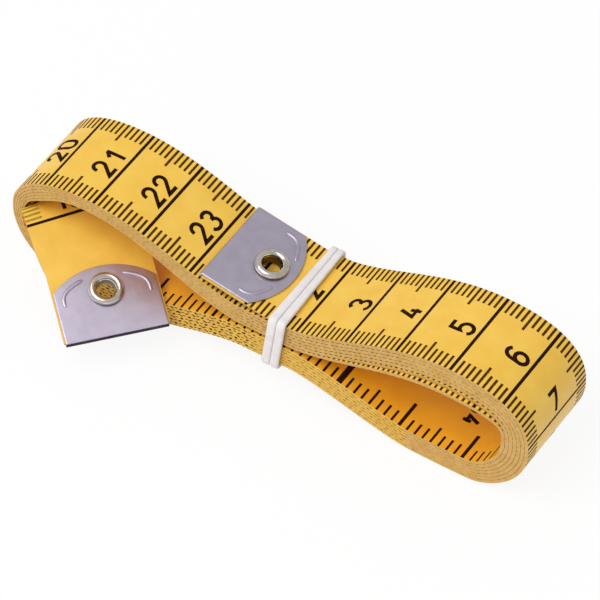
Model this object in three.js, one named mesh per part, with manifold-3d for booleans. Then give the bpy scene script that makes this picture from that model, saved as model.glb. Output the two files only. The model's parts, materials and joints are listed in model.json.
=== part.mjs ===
// Cloth tape measure: a printed tape wound into a flattened roll, a folded metal tip with an eyelet
// on each end, and a rubber band laid twice round the roll's waist.
// Millimetres, +Z up. X runs along the roll, Y across the tape, and the roll lies on z = 0.
import * as THREE from 'three';
import { mergeVertices } from 'three/addons/utils/BufferGeometryUtils.js';
import Module from 'manifold-3d';

const wasm = await Module();
wasm.setup();

// Tape
const tapeWidth = 18;
const tapeThickness = 0.25;
const layerGap = 0.43;

// Roll: the outermost turn's middle line seen from its near edge, with x = 0 in the middle of the roll
const leftEnd = -50.4;
const leftCrest = -35;
const leftLoopTop = 23.5;
const leftTipHeight = 12.8;
const waistLeft = -5.4;
const waistCentre = 10.5;
const waistOpening = 1.6;
const rightCrest = 35;
const rightLoopTop = 24.4;
const rightTipHeight = 13.2;
const rightEnd = 50;
const shoulderPower = 1.45;
const endRoundnessTop = 2.4;
const endRoundnessBottom = 2;
const footSink = 0.8;

// Slack between turns, over the layer gap, and how far the innermost turn has slipped out of the right loop's top
const slackLeftBottom = 0.08;
const slackRightTop = 0.14;
const slackRightEnd = 0.17;
const slackRightBottom = 0.05;
const slipRightTop = 2.2;

// Turns, and the steps that each stretch of a turn is drawn with
const wholeTurns = 6;
const flatSteps = 3;
const shoulderSteps = 6;
const endSteps = 12;
const climbSteps = 4;
const archSteps = 12;

// Metal tips: a sheet folded over the tape's end, with straight sides and a rounded edge
const clipSheet = 0.3;
const clipSlack = 0.1;
const clipInset = 0.25;
const clipSide = 9.5;
const clipRounding = 3.4;
const clipBackMargin = 0.1;
const clipArcSteps = 20;

// Eyelets
const eyeletFromApex = 4.45;
const eyeletHole = 3.6;
const eyeletWall = 0.3;
const eyeletRimOverhang = 0.7;
const eyeletRimHeight = 0.8;
const eyeletFootOverhang = 0.35;
const eyeletFootHeight = 0.25;
const eyeletClearance = 0.15;
const eyeletSeat = 0.05;
const eyeletSides = 28;

// Free ends: where the tape flexes beside each tip, and the outer tip's seat on the turn below it
const flexFromClip = 0.3;
const flexGap = 0.3;
const outerFlexX = -0.15;
const outerSeatGap = 0.25;

// Inner end: the middle of its fold, its heading from +X, its rise to the tape, and its seat on the roll's near edge
const innerFoldX = -22.8;
const innerFoldPastEdge = 9.6;
const innerHeading = THREE.MathUtils.degToRad(138.4);
const innerRise = THREE.MathUtils.degToRad(18.9);
const innerSeatGap = 0.3;

// Tail: the innermost turn drawn out of the roll, its upright stretch inside the left end, and its arch to the inner tip
const tailSlip = 3;
const tailSlipSteps = 6;
const tailInset = 2.9;
const tailDrop = 2;
const tailBend = 1.4;
const archLift = 7.5;
const archRun = 9;

// Rubber band
const bandStrandWidth = 1.6;
const bandThickness = 1;
const bandStrandGap = 0.45;
const bandClearance = 0.3;
const bandFromFlex = 0.5;
const bandWaistMargin = 0.45;
const bandCornerRadius = 0.4;
const bandCornerSteps = 4;
const bandCrossSteps = 10;
const bandCrossGap = 0.5;
const bandDipShare = 0.3;

const yellowCloth = new THREE.MeshStandardMaterial({ color: 0xf0c24a, roughness: 0.55, metalness: 0 });
const plainSteel = new THREE.MeshStandardMaterial({ color: 0xaaa3b2, roughness: 0.38, metalness: 0.9 });
const brightNickel = new THREE.MeshStandardMaterial({ color: 0xd8d2c8, roughness: 0.2, metalness: 1 });
const paleRubber = new THREE.MeshStandardMaterial({ color: 0xdfe0e2, roughness: 0.6, metalness: 0 });

// Sizes that follow from the ones above
const pitch = tapeThickness + layerGap;
const nearEdge = -tapeWidth / 2;
const slot = tapeThickness + 2 * clipSlack;
const clipThickness = slot + 2 * clipSheet;
const clipWidth = tapeWidth - 2 * clipInset;
const clipReach = clipSide + clipRounding;
const eyeletFromFold = clipReach - eyeletFromApex;
const eyeletBarrel = eyeletHole + 2 * eyeletWall;
const eyeletRim = eyeletBarrel + 2 * eyeletRimOverhang;
const eyeletFoot = eyeletBarrel + 2 * eyeletFootOverhang;
const eyeletBore = eyeletBarrel + 2 * eyeletClearance;
const clipBackReach = eyeletFromFold + eyeletFoot / 2 + clipBackMargin;
const flexFromFold = clipReach + flexFromClip;
const windingStartX = outerFlexX + flexGap / 2;
const bandLeft = windingStartX + bandFromFlex;
const bandStrandPitch = bandStrandWidth + bandStrandGap;
const bandWidth = bandStrandPitch + bandStrandWidth;
const waistRight = bandLeft + bandWidth + bandWaistMargin;
const waistHalfHeight = (pitch * (2 * wholeTurns + 0.5) + waistOpening) / 2;
const waistTop = waistCentre + waistHalfHeight;
const waistBottom = waistCentre - waistHalfHeight + pitch / 2;

// Solids and booleans
function solidOf(geometry) {
  const bare = geometry.index ? geometry.toNonIndexed() : geometry.clone();
  bare.deleteAttribute('normal');
  bare.deleteAttribute('uv');
  const merged = mergeVertices(bare, 1e-4);
  return new wasm.Manifold(new wasm.Mesh({
    numProp: 3,
    vertProperties: new Float32Array(merged.attributes.position.array),
    triVerts: new Uint32Array(merged.index.array),
  }));
}

function geometryOf(solid) {
  const mesh = solid.getMesh();
  const geometry = new THREE.BufferGeometry();
  geometry.setAttribute('position', new THREE.BufferAttribute(new Float32Array(mesh.vertProperties), 3));
  geometry.setIndex(new THREE.BufferAttribute(new Uint32Array(mesh.triVerts), 1));
  geometry.computeVertexNormals();
  return geometry;
}

function named(name, geometry, material) {
  const mesh = new THREE.Mesh(geometry, material);
  mesh.name = name;
  return mesh;
}

// A station of a flat strip: a middle point, the way across it and the way out of its face
function station(point, along, side) {
  return { point, side, up: new THREE.Vector3().crossVectors(along, side).normalize() };
}

// A point on a strip's section: v from -1 to 1 across it and h from -1 to 1 through it
function sectionPoint({ point, side, up }, width, thickness, v, h) {
  return point.clone().addScaledVector(side, (v * width) / 2).addScaledVector(up, (h * thickness) / 2);
}

// A closed solid of the strip through its stations, with end faces unless it is a loop
function stripGeometry(stations, width, thickness, loop) {
  const corners = [];
  for (const place of stations) {
    for (const [v, h] of [[-1, 1], [1, 1], [1, -1], [-1, -1]]) {
      corners.push(sectionPoint(place, width, thickness, v, h));
    }
  }
  const index = [];
  const rings = stations.length;
  const links = loop ? rings : rings - 1;
  for (let ring = 0; ring < links; ring += 1) {
    const next = (ring + 1) % rings;
    for (let k = 0; k < 4; k += 1) {
      const a = ring * 4 + k;
      const b = ring * 4 + ((k + 1) % 4);
      const c = next * 4 + ((k + 1) % 4);
      const d = next * 4 + k;
      index.push(a, c, b, a, d, c);
    }
  }
  if (!loop) {
    const last = (rings - 1) * 4;
    index.push(0, 1, 2, 0, 2, 3);
    index.push(last, last + 2, last + 1, last, last + 3, last + 2);
  }
  const geometry = new THREE.BufferGeometry();
  geometry.setFromPoints(corners);
  geometry.setIndex(index);
  geometry.computeVertexNormals();
  return geometry;
}

// Length along a strip at each of its stations
function lengthsAlong(stations) {
  const lengths = [0];
  for (let i = 1; i < stations.length; i += 1) {
    lengths.push(lengths[i - 1] + stations[i].point.distanceTo(stations[i - 1].point));
  }
  return lengths;
}

// Least gap of a strip to itself: points on both faces of every station, each against every straight
// piece of the strip that lies further along it than a given length
function leastSelfGap(stations, width, thickness, apart, loop) {
  const places = loop ? stations.concat(stations[0]) : stations;
  const lengths = lengthsAlong(places);
  const wholeLoop = loop ? lengths.at(-1) : Infinity;
  const offset = new THREE.Vector3();
  const along = new THREE.Vector3();
  const up = new THREE.Vector3();
  let least = Infinity;
  for (let i = 0; i < places.length; i += 1) {
    const samples = [];
    for (const h of [-1, 1]) {
      for (const v of [-1, -0.5, 0, 0.5, 1]) samples.push(sectionPoint(places[i], width, thickness, v, h));
    }
    for (let j = i + 1; j < places.length; j += 1) {
      const ahead = lengths[j - 1] - lengths[i];
      const behind = wholeLoop - (lengths[j] - lengths[i]);
      if (Math.min(ahead, behind) > apart) {
        const from = places[j - 1];
        along.subVectors(places[j].point, from.point);
        const slip = along.dot(from.side);
        along.addScaledVector(from.side, -slip);
        const run = along.length();
        along.divideScalar(run);
        up.crossVectors(along, from.side);
        for (const sample of samples) {
          offset.subVectors(sample, from.point);
          const s = offset.dot(along);
          const beyond = Math.max(-s, 0, s - run);
          const aside = Math.max(Math.abs(offset.dot(from.side) - (slip * s) / run) - width / 2, 0);
          const above = Math.max(Math.abs(offset.dot(up)) - thickness / 2, 0);
          least = Math.min(least, Math.hypot(beyond, aside, above));
        }
      }
    }
  }
  return least;
}

// The roll's outline from the waist to the crest of each loop: its rise, half height and middle height at x
function shoulder(x) {
  const right = x > waistCentreX;
  const loopTop = right ? rightLoopTop : leftLoopTop;
  const share = right
    ? (x - waistRight) / (rightCrest - waistRight)
    : (waistLeft - x) / (waistLeft - leftCrest);
  const rise = Math.sin((THREE.MathUtils.clamp(share, 0, 1) * Math.PI) / 2) ** shoulderPower;
  return {
    rise,
    half: THREE.MathUtils.lerp(waistHalfHeight, (loopTop + footSink) / 2, rise),
    middle: THREE.MathUtils.lerp(waistCentre, (loopTop - footSink) / 2, rise),
  };
}

function shoulderPoint(x, side) {
  const { rise, half, middle } = shoulder(x);
  const right = x > waistCentreX;
  const crestSlack = side > 0 ? (right && slackRightTop) || 0 : (right ? slackRightBottom : slackLeftBottom);
  return {
    x,
    z: middle + side * half,
    slack: rise * crestSlack,
    slip: right && side > 0 ? rise * slipRightTop : 0,
  };
}

// A point on a loop's round end: turn runs from 1 at the top through 0 at the tip to -1 at the bottom
function endPoint(loop, turn) {
  const angle = (turn * Math.PI) / 2;
  const upper = turn > 0;
  const power = 2 / (upper ? endRoundnessTop : endRoundnessBottom);
  const height = upper ? loop.top - loop.tipHeight : loop.tipHeight + footSink;
  const crestShare = Math.sin(angle) ** 2;
  return {
    x: loop.crest + (loop.end - loop.crest) * Math.abs(Math.cos(angle)) ** power,
    z: loop.tipHeight + Math.sign(turn) * height * Math.abs(Math.sin(angle)) ** power,
    slack: THREE.MathUtils.lerp(loop.slackEnd, upper ? loop.slackTop : loop.slackBottom, crestShare),
    slip: upper ? crestShare * loop.slip : 0,
  };
}

// One closed outline, clockwise seen from the near edge, from the place where the outer end flexes
function outlinePoints() {
  const points = [];
  const run = (from, to, steps, make) => {
    for (let i = 0; i < steps; i += 1) points.push(make(THREE.MathUtils.lerp(from, to, i / steps)));
  };
  const top = (x) => shoulderPoint(x, 1);
  const bottom = (x) => shoulderPoint(x, -1);
  run(windingStartX, waistRight, flatSteps, top);
  run(waistRight, rightCrest, shoulderSteps, top);
  run(1, -1, endSteps, (turn) => endPoint(rightLoop, turn));
  run(rightCrest, waistRight, shoulderSteps, bottom);
  run(waistRight, waistLeft, flatSteps, bottom);
  run(waistLeft, leftCrest, shoulderSteps, bottom);
  run(-1, 1, endSteps, (turn) => endPoint(leftLoop, turn));
  run(leftCrest, waistLeft, shoulderSteps, top);
  run(waistLeft, windingStartX, flatSteps, top);
  return points;
}

// The lowest turn lies flat on the floor, so the outline is level there, less what the spiral climbs
function flatFeet(points) {
  points.forEach((p, i) => {
    const climb = (pitch + p.slack) * (i / points.length);
    p.z = Math.max(p.z, tapeThickness / 2 - climb);
  });
  return points;
}

const waistCentreX = (waistLeft + waistRight) / 2;
const leftLoop = {
  crest: leftCrest, end: leftEnd, top: leftLoopTop, tipHeight: leftTipHeight,
  slackTop: 0, slackEnd: 0, slackBottom: slackLeftBottom, slip: 0,
};
const rightLoop = {
  crest: rightCrest, end: rightEnd, top: rightLoopTop, tipHeight: rightTipHeight,
  slackTop: slackRightTop, slackEnd: slackRightEnd, slackBottom: slackRightBottom, slip: slipRightTop,
};
const outline = flatFeet(outlinePoints());
const turnSteps = outline.length;
const lastTipStep = wholeTurns * turnSteps + 2 * flatSteps + 3 * shoulderSteps + (3 * endSteps) / 2;
const lastStep = lastTipStep - endSteps / 4;

// Middle of the tape at a step of the winding: the outline moved inwards by the turns so far
function windingPoint(step) {
  const i = step % turnSteps;
  const before = outline[(i + turnSteps - 1) % turnSteps];
  const after = outline[(i + 1) % turnSteps];
  const turns = step / turnSteps;
  const inward = new THREE.Vector3(after.z - before.z, 0, before.x - after.x).normalize();
  const slip = outline[i].slip * (turns / wholeTurns) ** 2
    + tailSlip * THREE.MathUtils.smoothstep(step, lastStep - tailSlipSteps, lastStep);
  return new THREE.Vector3(outline[i].x, -slip, outline[i].z)
    .addScaledVector(inward, (pitch + outline[i].slack) * turns);
}

// A frame for a tip: its origin in the middle of the fold, +X along the tape and +Z out of the printed face
function tipFrame(fold, heading, rise) {
  const frame = new THREE.Group();
  frame.position.copy(fold);
  frame.rotation.set(0, -rise, heading, 'ZYX');
  frame.updateMatrixWorld(true);
  return frame;
}

// The outer tip lies with its fold on the turn below
function outerTipFrame() {
  const { half, middle } = shoulder(outerFlexX - flexFromFold);
  const turnBelow = middle + half - pitch + tapeThickness;
  const foldZ = turnBelow + outerSeatGap + clipThickness / 2;
  const slope = Math.asin((foldZ - waistTop) / flexFromFold);
  const fold = new THREE.Vector3(outerFlexX - flexFromFold * Math.cos(slope), 0, foldZ);
  return tipFrame(fold, 0, -slope);
}

// Top of the innermost turn along the left loop's bottom, at x
function innermostBottom(x) {
  const first = wholeTurns * turnSteps + 2 * flatSteps + 2 * shoulderSteps + endSteps;
  let step = first;
  while (step < first + shoulderSteps && windingPoint(step).x > x) step += 1;
  const a = windingPoint(step - 1);
  const b = windingPoint(step);
  return THREE.MathUtils.mapLinear(x, a.x, b.x, a.z, b.z) + tapeThickness / 2;
}

// The inner tip lies with its far side on the near edge of the left loop's bottom
function innerTipFrame() {
  const foldY = nearEdge - innerFoldPastEdge;
  const far = new THREE.Vector2(Math.sin(innerHeading), -Math.cos(innerHeading)).multiplyScalar(clipWidth / 2);
  const level = (nearEdge - foldY - far.y) / Math.sin(innerHeading);
  const seatX = innerFoldX + far.x + level * Math.cos(innerHeading);
  const foldZ = innermostBottom(seatX) + innerSeatGap + clipThickness / 2 / Math.cos(innerRise)
    - level * Math.tan(innerRise);
  return tipFrame(new THREE.Vector3(innerFoldX, foldY, foldZ), innerHeading, innerRise);
}

const outerFrame = outerTipFrame();
const innerFrame = innerTipFrame();

// The tail: from the innermost turn up inside the left end, then over an arch and out to the inner tip
function tailStations() {
  const upright = new THREE.Vector3(0, 0, 1);
  const start = windingPoint(lastStep);
  const startWay = windingPoint(lastStep + 1).sub(windingPoint(lastStep - 1)).normalize();
  const wall = windingPoint(lastTipStep).add(new THREE.Vector3(tailInset, 0, -tailDrop));
  const end = innerFrame.localToWorld(new THREE.Vector3(flexFromFold + flexGap / 2, 0, 0));
  const toTip = new THREE.Vector3(-1, 0, 0).transformDirection(innerFrame.matrixWorld);
  const beforeTip = end.clone().addScaledVector(toTip, -archRun);
  const climb = new THREE.CubicBezierCurve3(
    start,
    start.clone().addScaledVector(startWay, tailBend),
    wall.clone().addScaledVector(upright, -tailBend),
    wall,
  );
  const arch = new THREE.CubicBezierCurve3(wall, wall.clone().addScaledVector(upright, archLift), beforeTip, end);
  const wallTurn = Math.atan2(beforeTip.y - wall.y, beforeTip.x - wall.x);
  const tipTurn = innerHeading - Math.PI;
  const stations = [];
  const run = (curve, steps, turnAt) => {
    for (let i = 1; i <= steps; i += 1) {
      const turn = turnAt(i / steps);
      const side = new THREE.Vector3(-Math.sin(turn), Math.cos(turn), 0);
      stations.push(station(curve.getPoint(i / steps), curve.getTangent(i / steps), side));
    }
  };
  run(climb, climbSteps, (share) => wallTurn * THREE.MathUtils.smoothstep(share, 0, 1));
  run(arch, archSteps, (share) => THREE.MathUtils.lerp(wallTurn, tipTurn, share));
  return stations;
}

function windingStations() {
  const across = new THREE.Vector3(0, 1, 0);
  const stations = [];
  for (let step = 0; step <= lastStep; step += 1) {
    const along = windingPoint(step + 1).sub(windingPoint(Math.max(step - 1, 0)));
    stations.push(station(windingPoint(step), along, across));
  }
  return stations.concat(tailStations());
}

// Rubber band: two strands side by side round the waist, which change places underneath
function bandStations() {
  const middleX = bandLeft + bandWidth / 2;
  const offset = tapeThickness / 2 + bandClearance + bandThickness / 2;
  const radius = bandCornerRadius + bandThickness / 2;
  const farY = tapeWidth / 2 + bandClearance + bandThickness / 2 - radius;
  const top = waistTop + offset;
  const bottom = waistBottom - offset;
  const crossDip = bandThickness + bandCrossGap;
  const points = [];
  const corner = (x, y, z, from) => {
    for (let i = 0; i <= bandCornerSteps; i += 1) {
      const angle = from + ((Math.PI / 2) * i) / bandCornerSteps;
      points.push(new THREE.Vector3(x, y + radius * Math.cos(angle), z + radius * Math.sin(angle)));
    }
  };
  for (const strand of [-1, 1]) {
    const x = middleX + (strand * bandStrandPitch) / 2;
    corner(x, farY, bottom + radius, -Math.PI / 2);
    corner(x, farY, top - radius, 0);
    corner(x, -farY, top - radius, Math.PI / 2);
    corner(x, -farY, bottom + radius, Math.PI);
    for (let i = 1; i < bandCrossSteps; i += 1) {
      const share = i / bandCrossSteps;
      const crossed = THREE.MathUtils.smoothstep(share, bandDipShare, 1 - bandDipShare);
      const dipped = THREE.MathUtils.smoothstep(Math.min(share, 1 - share), 0, bandDipShare);
      points.push(new THREE.Vector3(
        x - strand * bandStrandPitch * crossed,
        THREE.MathUtils.lerp(-farY, farY, share),
        bottom - (strand < 0 ? crossDip * dipped : 0),
      ));
    }
  }
  return points.map((point, i) => {
    const after = points[(i + 1) % points.length];
    const before = points[(i + points.length - 1) % points.length];
    return station(point, after.clone().sub(before).normalize(), new THREE.Vector3(1, 0, 0));
  });
}

// Metal tip: a folded profile drawn through the tape's width, cut to the rounded outline and pierced
function clipGeometry() {
  const outer = clipThickness / 2;
  const inner = slot / 2;
  const profile = new THREE.Shape();
  profile.moveTo(clipBackReach, -outer);
  profile.lineTo(clipBackReach, -inner);
  profile.lineTo(outer, -inner);
  profile.absarc(outer, 0, inner, -Math.PI / 2, Math.PI / 2, true);
  profile.lineTo(clipReach, inner);
  profile.lineTo(clipReach, outer);
  profile.lineTo(outer, outer);
  profile.absarc(outer, 0, outer, Math.PI / 2, (3 * Math.PI) / 2, false);
  const folded = new THREE.ExtrudeGeometry(profile, { depth: clipWidth, bevelEnabled: false, curveSegments: 8 });
  folded.rotateX(Math.PI / 2);
  folded.translate(0, clipWidth / 2, 0);

  const radius = ((clipWidth / 2) ** 2 + clipRounding ** 2) / (2 * clipRounding);
  const half = Math.asin(clipWidth / 2 / radius);
  const plan = new THREE.Shape();
  plan.moveTo(-clipThickness, -clipWidth);
  plan.lineTo(clipSide, -clipWidth);
  plan.lineTo(clipSide, -clipWidth / 2);
  plan.absarc(clipReach - radius, 0, radius, -half, half, false);
  plan.lineTo(clipSide, clipWidth);
  plan.lineTo(-clipThickness, clipWidth);
  const rounded = new THREE.ExtrudeGeometry(plan, {
    depth: 2 * clipThickness, bevelEnabled: false, curveSegments: clipArcSteps,
  });
  rounded.translate(0, 0, -clipThickness);

  const pierced = new THREE.CylinderGeometry(eyeletBore / 2, eyeletBore / 2, 4 * clipThickness, eyeletSides);
  pierced.rotateX(Math.PI / 2);
  pierced.translate(eyeletFromFold, 0, 0);
  return geometryOf(solidOf(folded).intersect(solidOf(rounded)).subtract(solidOf(pierced)));
}

// Eyelet: a barrel through the tip with a rolled rim on the face and a flat foot behind
function eyeletGeometry() {
  const seat = clipThickness / 2 + eyeletSeat;
  const footBack = -seat - eyeletFootHeight;
  const hole = eyeletHole / 2;
  const barrel = eyeletBarrel / 2;
  const rim = eyeletRim / 2;
  const crown = (rim - hole) / 4;
  const rimTop = seat + eyeletRimHeight;
  const profile = [
    [hole, footBack],
    [eyeletFoot / 2, footBack],
    [eyeletFoot / 2, -seat],
    [barrel, -seat],
    [barrel, seat],
    [rim, seat],
    [rim, rimTop - crown],
    [rim - crown, rimTop],
    [hole + crown, rimTop],
    [hole, rimTop - crown],
    [hole, footBack],
  ];
  const ring = new THREE.LatheGeometry(profile.map(([r, z]) => new THREE.Vector2(r, z)), eyeletSides);
  ring.rotateX(Math.PI / 2);
  ring.translate(eyeletFromFold, 0, 0);
  return geometryOf(solidOf(ring));
}

// The tape's flat end inside the tip, pierced for the eyelet
function tapeEndGeometry() {
  const start = clipThickness / 2 + clipSlack;
  const end = flexFromFold - flexGap / 2;
  const plan = new THREE.Shape();
  plan.moveTo(start, -tapeWidth / 2);
  plan.lineTo(end, -tapeWidth / 2);
  plan.lineTo(end, tapeWidth / 2);
  plan.lineTo(start, tapeWidth / 2);
  const pierced = new THREE.Path();
  pierced.absarc(eyeletFromFold, 0, eyeletBore / 2, 0, 2 * Math.PI, true);
  plan.holes.push(pierced);
  const flat = new THREE.ExtrudeGeometry(plan, {
    depth: tapeThickness, bevelEnabled: false, curveSegments: eyeletSides / 2,
  });
  flat.translate(0, 0, -tapeThickness / 2);
  return flat;
}

function addTip(frame, end) {
  frame.add(named(`tape_${end}_end`, tapeEndGeometry(), yellowCloth));
  frame.add(named(`${end}_tip_clip`, clipGeometry(), plainSteel));
  frame.add(named(`${end}_tip_eyelet`, eyeletGeometry(), brightNickel));
}

const winding = windingStations();
const band = bandStations();
addTip(outerFrame, 'outer');
addTip(innerFrame, 'inner');

const tapeMeasure = new THREE.Group();
tapeMeasure.add(named('tape_winding', stripGeometry(winding, tapeWidth, tapeThickness, false), yellowCloth));
tapeMeasure.add(outerFrame, innerFrame);
tapeMeasure.add(named('rubber_band', stripGeometry(band, bandStrandWidth, bandThickness, true), paleRubber));

// The origin is under the middle of the whole object's box, on the floor
const box = new THREE.Box3().setFromObject(tapeMeasure, true);
const centre = box.getCenter(new THREE.Vector3());
tapeMeasure.position.set(-centre.x, -centre.y, -box.min.z);
tapeMeasure.updateMatrixWorld(true);

// Stretches that follow each other round one end of the roll, or round one corner of the band, are not turns
const tapeGap = leastSelfGap(winding, tapeWidth, tapeThickness, leftLoopTop, false);
const bandGap = leastSelfGap(band, bandStrandWidth, bandThickness, waistTop, true);
const tapeLength = lengthsAlong(winding).at(-1) + 2 * flexFromFold;
console.log(`tape: least gap to itself ${tapeGap.toFixed(3)} mm, length about ${tapeLength.toFixed(0)} mm`);
console.log(`rubber band: least gap to itself ${bandGap.toFixed(3)} mm`);

export default tapeMeasure;
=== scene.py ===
"""The looks of a cloth tape measure, wound into a flattened roll with a rubber band round its waist.

Sizes are in millimetres, in the roll's own frame: x = 0 in the middle of the roll, y = 0 in the middle
of the tape's width, and z = 0 on the floor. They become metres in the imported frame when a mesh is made.
"""

import json
import math

import bpy
import numpy as np
from mathutils import Matrix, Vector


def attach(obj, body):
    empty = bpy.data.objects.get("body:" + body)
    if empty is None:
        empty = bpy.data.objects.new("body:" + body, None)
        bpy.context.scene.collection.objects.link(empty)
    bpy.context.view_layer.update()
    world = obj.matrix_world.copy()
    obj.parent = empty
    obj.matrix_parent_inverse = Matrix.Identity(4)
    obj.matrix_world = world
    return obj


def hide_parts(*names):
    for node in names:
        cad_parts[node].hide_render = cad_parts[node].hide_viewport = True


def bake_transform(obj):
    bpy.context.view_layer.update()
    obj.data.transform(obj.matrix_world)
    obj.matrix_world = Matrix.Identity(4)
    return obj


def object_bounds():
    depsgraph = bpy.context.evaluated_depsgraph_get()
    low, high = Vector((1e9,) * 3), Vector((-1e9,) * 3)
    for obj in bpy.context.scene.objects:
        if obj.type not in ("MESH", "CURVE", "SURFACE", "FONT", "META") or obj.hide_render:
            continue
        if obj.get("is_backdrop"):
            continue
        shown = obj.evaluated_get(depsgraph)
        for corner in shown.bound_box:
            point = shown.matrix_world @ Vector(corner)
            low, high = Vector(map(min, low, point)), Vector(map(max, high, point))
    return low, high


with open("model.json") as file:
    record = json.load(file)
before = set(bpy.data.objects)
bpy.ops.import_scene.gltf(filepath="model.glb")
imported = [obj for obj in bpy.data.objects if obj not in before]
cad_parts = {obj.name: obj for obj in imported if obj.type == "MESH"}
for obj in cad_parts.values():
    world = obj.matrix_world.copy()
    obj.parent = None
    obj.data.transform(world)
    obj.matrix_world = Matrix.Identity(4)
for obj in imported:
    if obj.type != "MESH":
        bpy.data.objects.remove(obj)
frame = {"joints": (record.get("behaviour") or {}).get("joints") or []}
cad_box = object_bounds()

MM = 0.001
# Edges that turn by more degrees than these stay sharp
SHARP = 40
BAND_SHARP = 80

# Tape: the turns lie against each other, so the cloth is drawn as thick as the step to the next turn
TAPE_WIDTH = 18
CAD_THICKNESS = 0.25
PITCH = 0.68
TURNS_APART = 0.06
END_DEPTH = 0.325
TAIL_DEPTH = 0.42
# Its mesh is cut across at the edges of its marks and at least every step, but not close to its ends,
# at lengths rounded to so many digits
CLOTH_STEP = 0.5
CUT_CLEAR = 0.02
CUT_DIGITS = 2

# Roll: the outermost turn's middle line seen from its near edge. Slack is added to the pitch of the turns
# at places round a loop, and slip is how far the innermost turn moves towards the near edge
LEFT_LOOP = {
    "crest": -35, "end": -50.4, "top": 23.5, "tip": 12.8,
    "slack_top": -0.2, "slack_end": -0.28, "slack_bottom": 0.04, "slack_corner": 0.17, "slip": 0,
}
RIGHT_LOOP = {
    "crest": 35, "end": 50, "top": 24.4, "tip": 13.2,
    "slack_top": 0.1, "slack_end": 0.05, "slack_bottom": -0.04, "slack_corner": 0, "slip": 0.8,
}
WAIST_LEFT = -5.4
WAIST_RIGHT = 4.6
WAIST_CENTRE = 10.5
WAIST_OPENING = 1.6
SHOULDER_POWER = 1.45
END_ROUNDNESS_TOP = 2.4
END_ROUNDNESS_BOTTOM = 2
FOOT_SINK = 0.8
FOOT_EASE = 0.2
SLIP_POWER = 8
WHOLE_TURNS = 6
FLAT_STEPS = 24
SHOULDER_STEPS = 48
END_STEPS = 96

# Tail: the innermost turn climbs inside the left end and arches out to the inner tip
TAIL_INSET = 3.3
TAIL_ASIDE = 1.1
TAIL_DROP = 2.1
TAIL_BEND = 1.4
TAIL_TURN = math.radians(-26.5)
ARCH_LIFT = 7.5
ARCH_RUN = 6.7
ARCH_ASIDE = 1.5
TAIL_FLEX_RUN = 4
TAIL_STEPS = 96

# Metal tips: sheet folded over the tape's ends, with two pressed beads each
CLIP_SHEET = 0.3
CLIP_THICKNESS = 1.05
CLIP_SLACK = 0.1
CLIP_BACK_MARGIN = 0.1
CLIP_WIDTH = 17.5
CLIP_SIDE = 9.5
CLIP_ROUNDING = 3.4
FLEX_FROM_FOLD = 13.2
FLEX_GAP = 0.3
OUTER_FLEX_X = -0.15
OUTER_SEAT_GAP = 0.25
INNER_RISE = math.radians(18.9)
CLIP_EASE = 0.12
CLIP_EASE_STEPS = 5
CLIP_COLUMNS = 81
TIP_STEPS = 48
FOLD_STEPS = 12
INNER_FOLD_LIT_STEPS = 2
BEAD_WIDTH = 0.7
BEAD_HEIGHT = 0.2
BEAD_INSET = 1.45
BEAD_CORNER = 1.3
BEAD_FROM_MIDDLE = 3.4
BEAD_SIDE_LENGTH = 2.2
BEAD_END_POWER = 8
BEAD_END_LEAST = 0.02
BEAD_EDGE_STEPS = 24
BEAD_BEND_STEPS = 12
BEAD_SIDE_STEPS = 6
BEAD_ROUND_STEPS = 12

# Eyelets: the rim is rolled between two angles, and widest at a share of its height
EYELET_FROM_APEX = 4.45
EYELET_HOLE = 3.3
EYELET_RIM = 6
EYELET_RIM_HEIGHT = 1.05
EYELET_RIM_BASE = 0.25
EYELET_RIM_UNDERCUT = 0.15
EYELET_ROLL_FROM = -20
EYELET_ROLL_TO = 180
EYELET_ROLL_STEPS = 16
EYELET_BARREL = 4.2
EYELET_FOOT = 4.9
EYELET_FOOT_HEIGHT = 0.25
EYELET_SEAT = 0.05
EYELET_BORE = 4.5
EYELET_SIDES = 64

# Rubber band: two strands laid side by side, which change places underneath
BAND_LEFT = 0.8
BAND_LEAN = 0.2
BAND_FOOT_LEAN = 1.3
BAND_STRAND = 1.6
BAND_TOP_SHARE = 0.78
BAND_STRAND_GAP = 0.04
BAND_THICKNESS = 0.85
BAND_CLEARANCE = 0.17
BAND_CORNER = 0.4
BAND_CROSS_GAP = 0.5
BAND_DIP_SHARE = 0.3
BAND_ROUNDNESS = 3
BAND_CORNER_STEPS = 8
BAND_CROSS_STEPS = 40
BAND_SIDE_STEPS = 24

# Print: half widths of the marks, their lengths in from the tape's edges, and where the scales lie
TICK_HALF = 0.22
FIVE_HALF = 0.23
LINE_HALF = 0.28
TICK_LENGTH = 2.9
FIVE_LENGTH = 4.2
SIXTEENTH_HALF = 0.23
HALF_INCH_HALF = 0.32
FIVE_INCH_HALF = 0.55
SIXTEENTH_LENGTH = 2.4
QUARTER_LENGTH = 3.55
HALF_INCH_LENGTH = 5.4
EDGE_MARK_DEPTH = 0.06
BOLD_MARK_DEPTH = 0.17
BOLD_FADE = 4
BOLD_FROM = 0.5
WORN_LEFT = -38
WORN_RIGHT = 27
INK_RISE = 0.015
FIRST_TICK = 10
LAST_LINE = 1500
LAST_LINE_FROM_FOLD = 23.3
# The longer marks come every so many millimetres, or every so many sixteenths of an inch
FIVE_EVERY = 5
LINE_EVERY = 10
QUARTER_EVERY = 4
HALF_INCH_EVERY = 8
FIVE_INCH_EVERY = 80
INCH = 25.4
SIXTEENTH = INCH / 16
# Lengths along the modelled tape, and what its centimetre scale reads there
SCALE_LENGTHS = (0, 29.3, 60, 198.8, 228.4, 237.5, 1401, 1425.3, 1449.9)
SCALE_READS = (0.75, 30, 60, 200, 230, 240, 54 * INCH, 55 * INCH, 56 * INCH)

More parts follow.
